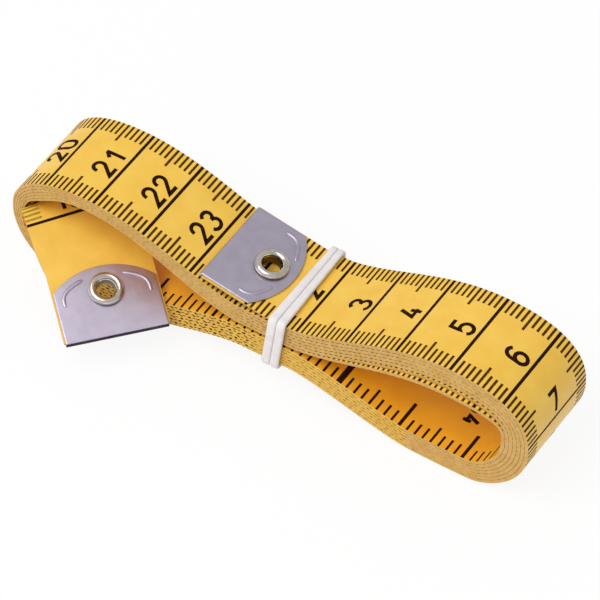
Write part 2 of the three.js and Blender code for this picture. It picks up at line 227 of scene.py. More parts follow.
# Numbers: drawn with a pen on a box, the centimetres larger than the inches
DIGIT_WIDTH = 2.7
NARROW_DIGIT_WIDTH = 1.85
DIGIT_HEIGHT = 4.4
DIGIT_PEN = 0.68
DIGIT_GAP = 0.5
NARROW_DIGIT_GAP = 0.35
NUMBER_FROM_LINE = 0.5
INCH_DIGIT_WIDTH = 2.2
INCH_DIGIT_HEIGHT = 3.6
INCH_DIGIT_PEN = 0.7
INCH_NUMBER_FROM_LINE = 1.2
NARROW_DIGITS = 3
ARC_STEPS = 14
PEN_STEP = 0.4
MITRE_LEAST = 0.5
# The numbers that show from some side: on the outer face, on the inner face and on the tail
OUTSIDE_NUMBERS = range(2, 24)
INSIDE_NUMBERS = range(48, 57)
TAIL_NUMBERS = range(147, 151)

# Camera: fitted to the printed lines of the photograph, whose frame is 600 pixels wide
AZIMUTH = 0.573038
ELEVATION = 0.841372
DISTANCE = 900
LENS_PIXELS = 5408.66
PHOTO_PIXELS = 600
SENSOR = 36
AIM_RIGHT = 13.186
AIM_UP = 0.107
FIT_TO_ROLL = np.array([-14.9, 0, 2.2])
# How near and how far it sees, in metres
CAMERA_NEAR = 0.05
CAMERA_FAR = 20

# Floor and light, in metres: a pale floor that glows, one large lamp in front to the left, and a white sky
FLOOR_HALF = 3
FLOOR_MOTTLE = 3
FLOOR_GREYS = (0.94, 0.96)
FLOOR_ROUGHNESS = 0.9
FLOOR_GLOW = 0.9
LAMP_PLACE = np.array([-0.22, -0.46, 0.9])
LAMP_SIZE = 0.8
LAMP_POWER = 7
SKY_STRENGTH = 0.54

# Finishes: cycles of the mottling and of the grain in a metre, the two roughnesses that the grain runs
# between, the depth of its relief, and what else the shader is told
WOVEN = {"mottle": 260, "grain": 3800, "rough": (0.45, 0.58), "relief": 0.015, "shader": {}}
COATED = {**WOVEN, "shader": {"Coat Weight": 0.35, "Coat Roughness": 0.3}}
CUT = {"mottle": 900, "grain": 5200, "rough": (0.7, 0.9), "relief": 0.02, "shader": {}}
MATT = {"Specular IOR Level": 0.06}
PRINTED = {"mottle": 1500, "grain": 3800, "rough": (0.5, 0.62), "relief": 0.01, "shader": MATT}
PRINTED_CUT = {**PRINTED, "rough": CUT["rough"], "relief": CUT["relief"], "shader": {}}
METAL = {"Metallic": 1}
SHEET = {"mottle": 500, "grain": 2600, "rough": (0.38, 0.46), "relief": 0.003, "shader": METAL}
PRESSED = {**SHEET, "rough": (0.42, 0.5)}
POLISHED = {"mottle": 700, "grain": 4200, "rough": (0.14, 0.22), "relief": 0.002, "shader": METAL}
DULL = {"mottle": 900, "grain": 4200, "rough": (0.4, 0.5), "relief": 0.004, "shader": METAL}
MOULDED = {"mottle": 500, "grain": 3000, "rough": (0.45, 0.6), "relief": 0.02, "shader": {}}
MOTTLE_DETAIL = 4
GRAIN_DETAIL = 6
RAMP_FROM = 0.3
RAMP_TO = 0.7
RELIEF_STRENGTH = 0.4

# Sizes and places that follow from the ones above and from the frame
STACK_LAYERS = 2 * WHOLE_TURNS + 0.5
WAIST_HALF = (PITCH * STACK_LAYERS + WAIST_OPENING) / 2
WAIST_TOP = WAIST_CENTRE + WAIST_HALF
WAIST_BOTTOM = WAIST_CENTRE - WAIST_HALF + PITCH / 2
WAIST_MIDDLE = (WAIST_LEFT + WAIST_RIGHT) / 2
TAPE_START = CLIP_THICKNESS / 2 + CLIP_SLACK
CLIP_REACH = CLIP_SIDE + CLIP_ROUNDING
CLIP_RADIUS = ((CLIP_WIDTH / 2) ** 2 + CLIP_ROUNDING**2) / (2 * CLIP_ROUNDING)
EYELET_FROM_FOLD = CLIP_REACH - EYELET_FROM_APEX
CLIP_BACK = EYELET_FROM_FOLD + EYELET_FOOT / 2 + CLIP_BACK_MARGIN
CUTTER_REACH = 2 * CLIP_THICKNESS
BAND_STRAND_PITCH = BAND_STRAND + BAND_STRAND_GAP
BAND_MIDDLE = BAND_LEFT + (BAND_STRAND_PITCH + BAND_STRAND) / 2
OUTER_FACE = CAD_THICKNESS / 2
EDGE_AT = TAPE_WIDTH / 2

joints = {joint["name"]: joint for joint in frame["joints"]}
OUTER_FLEX = np.array(joints["outer_end_lift"]["pos_m"]) / MM
INNER_FLEX = np.array(joints["inner_end_lift"]["pos_m"]) / MM
INNER_AXIS = joints["inner_end_lift"]["axis"]
INNER_HEADING = math.atan2(-INNER_AXIS[0], INNER_AXIS[1])
ORIGIN = OUTER_FLEX - np.array([OUTER_FLEX_X, 0, WAIST_TOP])


def lerp(a, b, share):
    return a + (b - a) * share


def smoothstep(share):
    share = np.clip(share, 0, 1)
    return share * share * (3 - 2 * share)


def unit(vectors):
    return vectors / np.linalg.norm(vectors, axis=-1, keepdims=True)


def shoulder(x):
    """The outline between the waist and a loop's crest: its rise, half height and middle height."""
    right = x > WAIST_MIDDLE
    top = np.where(right, RIGHT_LOOP["top"], LEFT_LOOP["top"])
    share = np.where(
        right,
        (x - WAIST_RIGHT) / (RIGHT_LOOP["crest"] - WAIST_RIGHT),
        (WAIST_LEFT - x) / (WAIST_LEFT - LEFT_LOOP["crest"]),
    )
    rise = np.sin(np.clip(share, 0, 1) * np.pi / 2) ** SHOULDER_POWER
    half = lerp(WAIST_HALF, (top + FOOT_SINK) / 2, rise)
    middle = lerp(WAIST_CENTRE, (top - FOOT_SINK) / 2, rise)
    return rise, half, middle


def shoulder_run(start, end, steps, side):
    """Rows of x, z, slack and slip along one side of the outline."""
    x = np.linspace(start, end, steps, endpoint=False)
    rise, half, middle = shoulder(x)
    right = x > WAIST_MIDDLE
    level = "slack_top" if side > 0 else "slack_bottom"
    slack = rise * np.where(right, RIGHT_LOOP[level], LEFT_LOOP[level])
    slip = rise * np.where(right, RIGHT_LOOP["slip"], LEFT_LOOP["slip"]) * (side > 0)
    return np.stack([x, middle + side * half, slack, slip], axis=1)


def end_run(loop, start, end):
    """The same rows round a loop's end, from 1 at its top through 0 at its tip to -1 at its bottom."""
    turn = np.linspace(start, end, END_STEPS, endpoint=False)
    angle = turn * np.pi / 2
    upper = turn > 0
    power = 2 / np.where(upper, END_ROUNDNESS_TOP, END_ROUNDNESS_BOTTOM)
    height = np.where(upper, loop["top"] - loop["tip"], loop["tip"] + FOOT_SINK)
    crest_share = np.sin(angle) ** 2
    x = loop["crest"] + (loop["end"] - loop["crest"]) * np.abs(np.cos(angle)) ** power
    z = loop["tip"] + np.sign(turn) * height * np.abs(np.sin(angle)) ** power
    crest_slack = np.where(upper, loop["slack_top"], loop["slack_bottom"])
    slack = lerp(loop["slack_end"], crest_slack, crest_share)
    slack += loop["slack_corner"] * upper * np.sin(2 * angle) ** 2
    return np.stack([x, z, slack, crest_share * loop["slip"] * upper], axis=1)


def roll_outline():
    """One closed turn, clockwise seen from the near edge, level where it lies on the floor."""
    rows = np.concatenate([
        shoulder_run(0, WAIST_RIGHT, FLAT_STEPS, 1),
        shoulder_run(WAIST_RIGHT, RIGHT_LOOP["crest"], SHOULDER_STEPS, 1),
        end_run(RIGHT_LOOP, 1, -1),
        shoulder_run(RIGHT_LOOP["crest"], WAIST_RIGHT, SHOULDER_STEPS, -1),
        shoulder_run(WAIST_RIGHT, WAIST_LEFT, FLAT_STEPS, -1),
        shoulder_run(WAIST_LEFT, LEFT_LOOP["crest"], SHOULDER_STEPS, -1),
        end_run(LEFT_LOOP, -1, 1),
        shoulder_run(LEFT_LOOP["crest"], WAIST_LEFT, SHOULDER_STEPS, 1),
        shoulder_run(WAIST_LEFT, 0, FLAT_STEPS, 1),
    ])
    climb = (PITCH + rows[:, 2]) * np.arange(len(rows)) / len(rows)
    floor = OUTER_FACE - climb
    rows[:, 1] = (rows[:, 1] + floor) / 2 + np.hypot((rows[:, 1] - floor) / 2, FOOT_EASE)
    return rows


OUTLINE = roll_outline()
TURN_STEPS = len(OUTLINE)
LAST_TIP_STEP = WHOLE_TURNS * TURN_STEPS + 2 * FLAT_STEPS + 3 * SHOULDER_STEPS + 3 * END_STEPS // 2
LAST_STEP = LAST_TIP_STEP - END_STEPS // 4


def winding(steps):
    """Middle of the tape at steps of the winding, and the depth of its cloth there."""
    i = steps % TURN_STEPS
    turns = steps / TURN_STEPS
    before, after = OUTLINE[i - 1], OUTLINE[(i + 1) % TURN_STEPS]
    inward = unit(np.stack([after[:, 1] - before[:, 1], before[:, 0] - after[:, 0]], axis=1))
    x, z, slack, slip = OUTLINE[i].T
    y = -slip * (turns / WHOLE_TURNS) ** SLIP_POWER
    step_in = (PITCH + slack) * turns
    points = np.stack([x + inward[:, 0] * step_in, y, z + inward[:, 1] * step_in], axis=1)
    return points, PITCH + slack - TURNS_APART


def bezier(a, b, c, d, share):
    t = share[:, None]
    return (1 - t) ** 3 * a + 3 * (1 - t) ** 2 * t * b + 3 * (1 - t) * t**2 * c + t**3 * d


def tip_frame(flex, heading, rise):
    """A tip's fold and its axes: along the tape, across it, and out of its printed face."""
    level = math.cos(rise)
    along = np.array([math.cos(heading) * level, math.sin(heading) * level, math.sin(rise)])
    across = np.array([-math.sin(heading), math.cos(heading), 0])
    return {
        "fold": flex - ORIGIN - FLEX_FROM_FOLD * along,
        "along": along,
        "across": across,
        "out": np.cross(along, across),
    }


def outer_slope():
    """The outer tip lies with its fold on the turn below."""
    _, half, middle = shoulder(np.array(OUTER_FLEX_X - FLEX_FROM_FOLD))
    fold = middle + half - PITCH + CAD_THICKNESS + OUTER_SEAT_GAP + CLIP_THICKNESS / 2
    return math.asin((fold - WAIST_TOP) / FLEX_FROM_FOLD)


OUTER_TIP = tip_frame(OUTER_FLEX, 0, -outer_slope())
INNER_TIP = tip_frame(INNER_FLEX, INNER_HEADING, INNER_RISE)


def tape_line():
    """The tape's middle line from tip to tip: its points, the way across it, and its depth."""
    in_tip = np.linspace(TAPE_START, FLEX_FROM_FOLD - FLEX_GAP / 2, TIP_STEPS)
    outer = OUTER_TIP["fold"] + in_tip[:, None] * OUTER_TIP["along"]
    roll, roll_depth = winding(np.arange(2, LAST_STEP + 1))

    start = roll[-1]
    way = unit(roll[-1] - roll[-2])
    up = np.array([0, 0, 1])
    wall = winding(np.array([LAST_TIP_STEP]))[0][0] + np.array([TAIL_INSET, -TAIL_ASIDE, -TAIL_DROP])
    end = INNER_TIP["fold"] + (FLEX_FROM_FOLD + FLEX_GAP / 2) * INNER_TIP["along"]
    before_tip = end + ARCH_RUN * INNER_TIP["along"] + ARCH_ASIDE * INNER_TIP["across"]
    share = np.arange(1, TAIL_STEPS + 1) / TAIL_STEPS
    climb = bezier(start, start + TAIL_BEND * way, wall - TAIL_BEND * up, wall, share)
    arch = bezier(wall, wall + ARCH_LIFT * up, before_tip, end, share)
    inner = INNER_TIP["fold"] + in_tip[::-1, None] * INNER_TIP["along"]

    tip_turn = INNER_HEADING - math.pi
    turn = np.concatenate([
        np.zeros(len(outer) + len(roll)),
        TAIL_TURN * smoothstep(share),
        lerp(TAIL_TURN, tip_turn, share),
        np.full(len(inner), tip_turn),
    ])
    across = np.stack([-np.sin(turn), np.cos(turn), np.zeros(len(turn))], axis=1)
    under_band = smoothstep((roll[:, 0] - BAND_LEFT) / BAND_STRAND)
    under_band[FLAT_STEPS:] = 1
    depth = np.concatenate([
        np.full(len(outer), END_DEPTH),
        lerp(END_DEPTH, roll_depth, under_band),
        lerp(roll_depth[-1], TAIL_DEPTH, smoothstep(share)),
        np.full(len(arch), TAIL_DEPTH),
        lerp(END_DEPTH, TAIL_DEPTH, smoothstep((in_tip[::-1] - CLIP_SIDE) / CLIP_ROUNDING)),
    ])
    return np.concatenate([outer, roll, climb, arch, inner]), across, depth, len(outer) + len(roll)


LINE, ACROSS, DEPTH, TAIL_FIRST = tape_line()
STEP_LENGTHS = np.linalg.norm(np.diff(LINE, axis=0), axis=1)
LENGTHS = TAPE_START + np.concatenate([[0], np.cumsum(STEP_LENGTHS)])
OUT = unit(np.cross(np.gradient(LINE, LENGTHS, axis=0), ACROSS))
TAPE_LENGTH = LENGTHS[-1] + TAPE_START
LAST_LINE_LENGTH = TAPE_LENGTH - LAST_LINE_FROM_FOLD
TAIL_LENGTH = LENGTHS[TAIL_FIRST]
FIRST_FLAT = TIP_STEPS + FLAT_STEPS
UNDER_BAND_LENGTH = np.interp(BAND_MIDDLE, LINE[:FIRST_FLAT, 0], LENGTHS[:FIRST_FLAT])


def along_tape(values, lengths):
    return np.stack([np.interp(lengths, LENGTHS, column) for column in values.T], axis=1)


def on_tape(lengths, offsets, heights):
    """Points at lengths along the tape, offsets across it and heights out of its middle line."""
    place = along_tape(LINE, lengths) + offsets[:, None] * along_tape(ACROSS, lengths)
    return place + heights[:, None] * unit(along_tape(OUT, lengths))


def inner_face(lengths):
    return OUTER_FACE - np.interp(lengths, LENGTHS, DEPTH)


def roll_reading(lengths):
    """What the centimetre scale reads on the roll. It runs a little uneven where the turns hide it."""
    return np.interp(lengths, SCALE_LENGTHS, SCALE_READS) + np.maximum(lengths - SCALE_LENGTHS[-1], 0)


def roll_length(readings):
    return np.interp(readings, SCALE_READS, SCALE_LENGTHS) + np.maximum(readings - SCALE_READS[-1], 0)


def tail_reading(lengths):
    return lengths - LAST_LINE_LENGTH + LAST_LINE


def tail_length(readings):
    return readings - LAST_LINE + LAST_LINE_LENGTH


def metres(points):
    return (np.asarray(points) + ORIGIN) * MM


def mesh_object(name, points, faces, materials, indices=None, sharp=SHARP):
    """A smooth mesh of points in the roll's frame, with edges sharper than an angle left sharp."""
    mesh = bpy.data.meshes.new(name)
    mesh.from_pydata(metres(points).tolist(), [], faces)
    for material in materials:
        mesh.materials.append(material)
    if indices is not None:
        mesh.polygons.foreach_set("material_index", np.asarray(indices, np.int32))
    mesh.polygons.foreach_set("use_smooth", np.ones(len(faces), bool))
    mesh.set_sharp_from_angle(angle=math.radians(sharp))
    mesh.validate()
    piece = bpy.data.objects.new(name, mesh)
    bpy.context.scene.collection.objects.link(piece)
    return piece


# Materials
def new_material(name):
    material = bpy.data.materials.new(name)
    material.use_nodes = True
    tree = material.node_tree
    return material, tree, tree.nodes["Principled BSDF"]


def srgb(red, green, blue):
    """A colour as it is seen on a screen, from 0 to 255, as linear light."""
    values = np.array([red, green, blue]) / 255
    linear = np.where(values <= 0.04045, values / 12.92, ((values + 0.055) / 1.055) ** 2.4)
    return (*linear.tolist(), 1)


def grey(value):
    return (value, value, value, 1)


def noise(tree, scale, detail):
    """Noise in the piece's own coordinates: its scale is in cycles per metre."""
    place = tree.nodes.new("ShaderNodeTexCoord")
    texture = tree.nodes.new("ShaderNodeTexNoise")
    texture.inputs["Scale"].default_value = scale
    texture.inputs["Detail"].default_value = detail
    tree.links.new(place.outputs["Object"], texture.inputs["Vector"])
    return texture.outputs["Fac"]


def ramp(tree, factor, low, high):
    node = tree.nodes.new("ShaderNodeValToRGB")
    stops = ((RAMP_FROM, low), (RAMP_TO, high))
    for element, (position, colour) in zip(node.color_ramp.elements, stops):
        element.position = position
        element.color = colour
    tree.links.new(factor, node.inputs["Fac"])
    return node.outputs["Color"]


def relief(tree, height, depth):
    node = tree.nodes.new("ShaderNodeBump")
    node.inputs["Strength"].default_value = RELIEF_STRENGTH
    node.inputs["Distance"].default_value = depth * MM
    tree.links.new(height, node.inputs["Height"])
    return node.outputs["Normal"]


def textured(name, low, high, finish):
    """A surface between two screen colours, whose colour, roughness and fine relief come from noise."""
    material, tree, shader = new_material(name)
    mottle = noise(tree, finish["mottle"], MOTTLE_DETAIL)
    grain = noise(tree, finish["grain"], GRAIN_DETAIL)
    smooth, rough = finish["rough"]
    tree.links.new(ramp(tree, mottle, srgb(*low), srgb(*high)), shader.inputs["Base Color"])
    tree.links.new(ramp(tree, grain, grey(smooth), grey(rough)), shader.inputs["Roughness"])
    tree.links.new(relief(tree, grain, finish["relief"]), shader.inputs["Normal"])
    for socket, value in finish["shader"].items():
        shader.inputs[socket].default_value = value
    return material


cloth = textured("coated_cloth", (240, 190, 63), (247, 201, 79), COATED)
# The inner face is a deeper orange than the outer face: painted shade, standing in for the orange light
# bounced round inside the roll's loops
cloth_inside_painted_shade = textured("cloth_inside_painted_shade", (238, 166, 18), (244, 178, 28), WOVEN)
cloth_edge = textured("cloth_edge", (200, 156, 82), (218, 176, 102), CUT)
clean_edge = textured("clean_edge", (218, 172, 70), (234, 188, 84), CUT)
ink = textured("print_ink", (32, 14, 2), (48, 24, 4), PRINTED)
tick_ink = textured("tick_ink", (70, 42, 4), (90, 56, 8), PRINTED)
faint_ink = textured("faint_ink", (150, 128, 48), (178, 150, 58), PRINTED)
edge_ink = textured("print_on_edge", (84, 60, 28), (120, 88, 46), PRINTED_CUT)
steel = textured("tip_sheet", (194, 185, 202), (204, 195, 213), SHEET)
# Painted shade: dark steel for a fold's lower side, standing in for the shade and the dark reflection that
# fall there
fold_painted_shade = textured("tip_fold_painted_shade", (52, 48, 56), (78, 72, 84), SHEET)
pressed = textured("tip_bead", (186, 178, 194), (202, 194, 211), PRESSED)
nickel = textured("eyelet_nickel", (206, 198, 190), (232, 226, 218), POLISHED)
# Painted shade: dark nickel in the eyelet's bore and under its rolled rim, standing in for the shade and dark
# reflections there
painted_shade_nickel = textured("eyelet_painted_shade", (96, 82, 66), (128, 112, 92), DULL)
rubber = textured("band_rubber", (226, 221, 222), (239, 233, 233), MOULDED)


# The tape's cloth: a closed strip whose faces carry the scales
CLOTH, INSIDE, EDGE, CLEAN_EDGE, INK, TICK, FAINT, EDGE_MARK = range(8)
TAPE_MATERIALS = [cloth, cloth_inside_painted_shade, cloth_edge, clean_edge, ink, tick_ink, faint_ink, edge_ink]

# Lengths of marks, the last one longer than any. Marks come every so many steps of a scale, with a half width
SHORT, MIDDLE, LONG, NEVER = range(1, 5)
CENTIMETRE_MARKS = [
    (1, TICK_HALF, SHORT),
    (FIVE_EVERY, FIVE_HALF, MIDDLE),
    (LINE_EVERY, LINE_HALF, LONG),
]
INCH_MARKS = [
    (1, SIXTEENTH_HALF, SHORT),
    (QUARTER_EVERY, SIXTEENTH_HALF, MIDDLE),
    (HALF_INCH_EVERY, HALF_INCH_HALF, LONG),
    (FIVE_INCH_EVERY, FIVE_INCH_HALF, LONG),
]
SCALES = {"centimetre": (1, CENTIMETRE_MARKS), "inch": (SIXTEENTH, INCH_MARKS)}


def printed_marks(readings, step, marks):
    """How long the mark is that is printed at readings of a scale, or 0 where nothing is printed."""
    nearest = np.round(readings / step)
    off = np.abs(readings - nearest * step)
    printed = np.zeros(len(readings), int)
    for every, half, longer in marks:
        printed = np.where((nearest % every == 0) & (off < half), longer, printed)
    on_scale = (nearest * step >= FIRST_TICK) & (nearest * step <= LAST_LINE)
    return np.where(on_scale, printed, 0)


def mark_edges(start, end, step, marks):
    """Both edges of every mark on a scale between two readings."""
    numbers = np.arange(math.ceil(start / step), math.floor(end / step) + 1)
    halves = np.zeros(len(numbers))
    for every, half, _ in marks:
        halves[numbers % every == 0] = half
    return np.concatenate([numbers * step - halves, numbers * step + halves])


def worn(lengths):
    """Where the print's ends no longer show on the cut edges: on both loops and on the upper left side."""
    x, _, z = along_tape(LINE, lengths).T
    return (x < WORN_LEFT) | (x > WORN_RIGHT) | ((x < WAIST_LEFT) & (z > WAIST_CENTRE))


def lower_left(lengths):
    """1 on the roll's lower left side, where the print's ends show boldly, falling to 0 around it."""
    x, _, z = along_tape(LINE, lengths).T
    return smoothstep((WAIST_MIDDLE - x) / BOLD_FADE) * (z < WAIST_CENTRE)


def clean(lengths):
    """Where the cut edges have kept the tape's yellow: on the roll's lower side between its loops."""
    x, _, z = along_tape(LINE, lengths).T
    return (x > WORN_LEFT) & (x < WORN_RIGHT) & (z < WAIST_CENTRE)


# Round the tape's section: offset across, the face that a corner lies on, how many edge marks below it, and
# then what lies between it and the next corner: plain material, scale and the shortest mark printed there
OUTER, INNER = range(2)
SECTION = [
    (-EDGE_AT, OUTER, 0, CLOTH, "centimetre", SHORT),
    (-EDGE_AT + TICK_LENGTH, OUTER, 0, CLOTH, "centimetre", MIDDLE),
    (-EDGE_AT + FIVE_LENGTH, OUTER, 0, CLOTH, "centimetre", LONG),
    (EDGE_AT - FIVE_LENGTH, OUTER, 0, CLOTH, "centimetre", MIDDLE),
    (EDGE_AT - TICK_LENGTH, OUTER, 0, CLOTH, "centimetre", SHORT),
    (EDGE_AT, OUTER, 0, EDGE, "centimetre", SHORT),
    (EDGE_AT, OUTER, 1, EDGE, "inch", NEVER),
    (EDGE_AT, INNER, 1, EDGE, "inch", SHORT),
    (EDGE_AT, INNER, 0, INSIDE, "inch", SHORT),
    (EDGE_AT - SIXTEENTH_LENGTH, INNER, 0, INSIDE, "inch", MIDDLE),
    (EDGE_AT - QUARTER_LENGTH, INNER, 0, INSIDE, "inch", LONG),
    (EDGE_AT - HALF_INCH_LENGTH, INNER, 0, INSIDE, "inch", NEVER),
    (-EDGE_AT + HALF_INCH_LENGTH, INNER, 0, INSIDE, "inch", LONG),
    (-EDGE_AT + QUARTER_LENGTH, INNER, 0, INSIDE, "inch", MIDDLE),
    (-EDGE_AT + SIXTEENTH_LENGTH, INNER, 0, INSIDE, "inch", SHORT),
    (-EDGE_AT, INNER, 0, EDGE, "inch", SHORT),
    (-EDGE_AT, INNER, 1, EDGE, "inch", NEVER),
    (-EDGE_AT, OUTER, 1, EDGE, "centimetre", SHORT),
]


def strip_cuts(start, end, reading, length_of):
    """Lengths at which a strip is cut across: its ends, the edges of its marks, and steps between."""
    first, last = reading(np.array([start, end]))
    edges = [length_of(mark_edges(first, last, step, marks)) for step, marks in SCALES.values()]
    cuts = np.concatenate([*edges, np.arange(start, end, CLOTH_STEP)])
    cuts = np.unique(np.round(cuts, CUT_DIGITS))
    between = (cuts > start + CUT_CLEAR) & (cuts < end - CUT_CLEAR)
    return np.concatenate([[start], cuts[between], [end]])


def cloth_strip(name, start, end, reading, length_of, ticks):
    """A closed length of the tape with its print; ticks gives the ink of each scale's shorter marks."""
    cuts = strip_cuts(start, end, reading, length_of)
    mark = lerp(EDGE_MARK_DEPTH, BOLD_MARK_DEPTH, lower_left(cuts))
    rings = []
    for offset, face, below, _, _, _ in SECTION:
        height = OUTER_FACE - below * mark if face == OUTER else inner_face(cuts) + below * mark
        rings.append(on_tape(cuts, np.full(len(cuts), offset), height))
    points = np.stack(rings, axis=1).reshape(-1, 3)

    middles = (cuts[1:] + cuts[:-1]) / 2
    readings = reading(middles)
    printed = {scale: printed_marks(readings, step, marks) for scale, (step, marks) in SCALES.items()}
    bare = worn(middles)
    edge = np.where(clean(middles), CLEAN_EDGE, EDGE)
    edge_mark = np.where(lower_left(middles) > BOLD_FROM, INK, EDGE_MARK)
    sides = len(SECTION)
    columns = np.arange(len(cuts) - 1)
    faces, indices = [], []
    for k, (_, _, _, plain, scale, shortest) in enumerate(SECTION):
        near = columns * sides + k
        far = columns * sides + (k + 1) % sides
        faces.append(np.stack([near, near + sides, far + sides, far], axis=1))
        inked = printed[scale] >= shortest
        if plain == EDGE:
            indices.append(np.where(inked & ~bare, edge_mark, edge))
        else:
            mark_ink = np.where(printed[scale] < LONG, ticks[scale], INK)
            indices.append(np.where(inked, mark_ink, plain))
    ends = [list(range(sides)), [(len(cuts) - 1) * sides + k for k in reversed(range(sides))]]
    faces = np.concatenate(faces).tolist() + ends
    indices = np.concatenate([*indices, [EDGE, EDGE]])
    return mesh_object(name, points, faces, TAPE_MATERIALS, indices)


ROLL_TICKS = {"centimetre": TICK, "inch": INK}
TAIL_TICKS = {"centimetre": FAINT, "inch": FAINT}
ON_ROLL = (roll_reading, roll_length, ROLL_TICKS)
ON_TAIL = (tail_reading, tail_length, TAIL_TICKS)
cloth_outer = cloth_strip("cloth_outer_end", TAPE_START, UNDER_BAND_LENGTH, *ON_ROLL)
cloth_roll = cloth_strip("cloth_roll", UNDER_BAND_LENGTH, TAIL_LENGTH, *ON_ROLL)
cloth_tail = cloth_strip("cloth_tail", TAIL_LENGTH, LENGTHS[-1], *ON_TAIL)


# Numbers: each digit is one or more pen strokes in a box from 0 to 1 each way
def arc(x, y, rx, ry, start, end):
    angles = np.radians(np.linspace(start, end, ARC_STEPS))
    return np.stack([x + rx * np.cos(angles), y + ry * np.sin(angles)], axis=1)


def path(*parts):
    return np.concatenate([np.atleast_2d(np.array(part, float)) for part in parts])


DIGITS = {
    "0": [path(arc(0.5, 0.72, 0.5, 0.28, 0, 180), arc(0.5, 0.28, 0.5, 0.28, 180, 360), (1, 0.72))],
    "1": [path((0.72, 1), (0.72, 0)), path((0.2, 0.66), (0.72, 0.95))],
    "2": [path(arc(0.5, 0.72, 0.48, 0.28, 190, -35), (0.02, 0), (1, 0))],
    "3": [path(arc(0.46, 0.76, 0.46, 0.24, 160, -80)), path(arc(0.46, 0.27, 0.54, 0.27, 85, -160))],
    "4": [path((0.58, 1), (0.02, 0.26), (1, 0.26)), path((0.74, 0.55), (0.74, 0))],
    "5": [path((0.94, 1), (0.14, 1), (0.08, 0.5), arc(0.46, 0.31, 0.54, 0.31, 120, -155))],
    "6": [path(arc(0.5, 0.3, 0.5, 0.3, 0, 360)), path((0, 0.3), arc(0.5, 0.7, 0.5, 0.3, 180, 35))],
    "7": [path((0, 1), (1, 1), (0.34, 0))],
    "8": [path(arc(0.5, 0.77, 0.42, 0.23, 0, 360)), path(arc(0.5, 0.27, 0.5, 0.27, 0, 360))],
    "9": [path(arc(0.5, 0.7, 0.5, 0.3, 0, 360)), path((1, 0.7), arc(0.5, 0.3, 0.5, 0.3, 0, -145))],
}


def pen_edges(stroke, pen):
    """Left and right edges of a pen stroke, mitred at its corners."""
    ways = unit(np.diff(stroke, axis=0))
    normals = np.stack([-ways[:, 1], ways[:, 0]], axis=1)
    closed = np.allclose(stroke[0], stroke[-1])
    before = np.concatenate([normals[-1:] if closed else normals[:1], normals])
    after = np.concatenate([normals, normals[:1] if closed else normals[-1:]])
    mitre = unit(before + after)
    reach = pen / 2 / np.clip((mitre * after).sum(axis=1), MITRE_LEAST, 1)
    return stroke + mitre * reach[:, None], stroke - mitre * reach[:, None]


def finer(stroke, step):
    """The stroke with its straight pieces cut short, so that it can follow the tape's curve."""
    parts = [stroke[:1]]
    for a, b in zip(stroke[:-1], stroke[1:]):
        count = max(1, math.ceil(np.linalg.norm(b - a) / step))
        parts.append(a + (b - a) * (np.arange(1, count + 1) / count)[:, None])
    return np.concatenate(parts)


def number_strokes(number, width, height, pen):
    """Pen edges of a whole number, centred across and standing on its base line."""
    text = str(number)
    gap = DIGIT_GAP if len(text) < NARROW_DIGITS else NARROW_DIGIT_GAP
    whole = len(text) * width + (len(text) - 1) * gap
    for place, digit in enumerate(text):
        corner = np.array([place * (width + gap) - whole / 2 + pen / 2, pen / 2])
        for stroke in DIGITS[digit]:
            drawn = corner + stroke * np.array([width - pen, height - pen])
            yield pen_edges(finer(drawn, PEN_STEP), pen)


def ink_numbers(name, strokes):
    """Thin inked ribbons. Each stroke is its left and its right edge, as lengths, offsets and heights."""
    points, faces = [], []
    first = 0
    for left, right in strokes:
        count = len(left[0])
        points += [on_tape(*left), on_tape(*right)]
        faces += [(i, i + count, i + count + 1, i + 1) for i in range(first, first + count - 1)]
        first += 2 * count
    return mesh_object(name, np.concatenate(points), faces, [ink])


def centimetre_numbers(numbers, length_of):
    """Numbers just before their lines on the outer face, with their tops towards zero."""
    for number in numbers:
        base = LINE_EVERY * number - LINE_HALF - NUMBER_FROM_LINE
        width = DIGIT_WIDTH if len(str(number)) < NARROW_DIGITS else NARROW_DIGIT_WIDTH
        for edges in number_strokes(number, width, DIGIT_HEIGHT, DIGIT_PEN):
            lengths = [length_of(base - e[:, 1]) for e in edges]
            yield [(s, e[:, 0], np.full(len(e), OUTER_FACE + INK_RISE)) for s, e in zip(lengths, edges)]


def inch_numbers(numbers):
    """Numbers just past their lines on the inner face, with their tops towards zero."""
    for number in numbers:
        base = number * INCH + INCH_NUMBER_FROM_LINE + INCH_DIGIT_HEIGHT
        for edges in number_strokes(number, INCH_DIGIT_WIDTH, INCH_DIGIT_HEIGHT, INCH_DIGIT_PEN):
            lengths = [roll_length(base - e[:, 1]) for e in edges]
            yield [(s, -e[:, 0], inner_face(s) - INK_RISE) for s, e in zip(lengths, edges)]


numbers_outside = ink_numbers("numbers_outside", centimetre_numbers(OUTSIDE_NUMBERS, roll_length))
numbers_inside = ink_numbers("numbers_inside", inch_numbers(INSIDE_NUMBERS))
numbers_tail = ink_numbers("numbers_tail", centimetre_numbers(TAIL_NUMBERS, tail_length))


# Metal tips, eyelets and rubber band
def tip_points(tip, x, y, z):
    """Points given in a tip's frame: x from its fold along the tape, y across, z out of its printed face."""
    return (
        tip["fold"]
        + np.multiply.outer(x, tip["along"])
        + np.multiply.outer(y, tip["across"])
        + np.multiply.outer(z, tip["out"])
    )


def swept(sections, loop):
    """Points and faces of a closed skin through rings of points."""
    rings, sides = sections.shape[:2]
    index = np.arange(rings * sides).reshape(rings, sides)
    ahead = np.roll(index, -1, axis=0) if loop else index[1:]
    here = index if loop else index[:-1]
    faces = np.stack(
        [here, np.roll(here, -1, axis=1), np.roll(ahead, -1, axis=1), ahead], axis=2
    ).reshape(-1, 4).tolist()
    if not loop:
        faces += [index[0][::-1].tolist(), index[-1].tolist()]
    return sections.reshape(-1, 3), faces


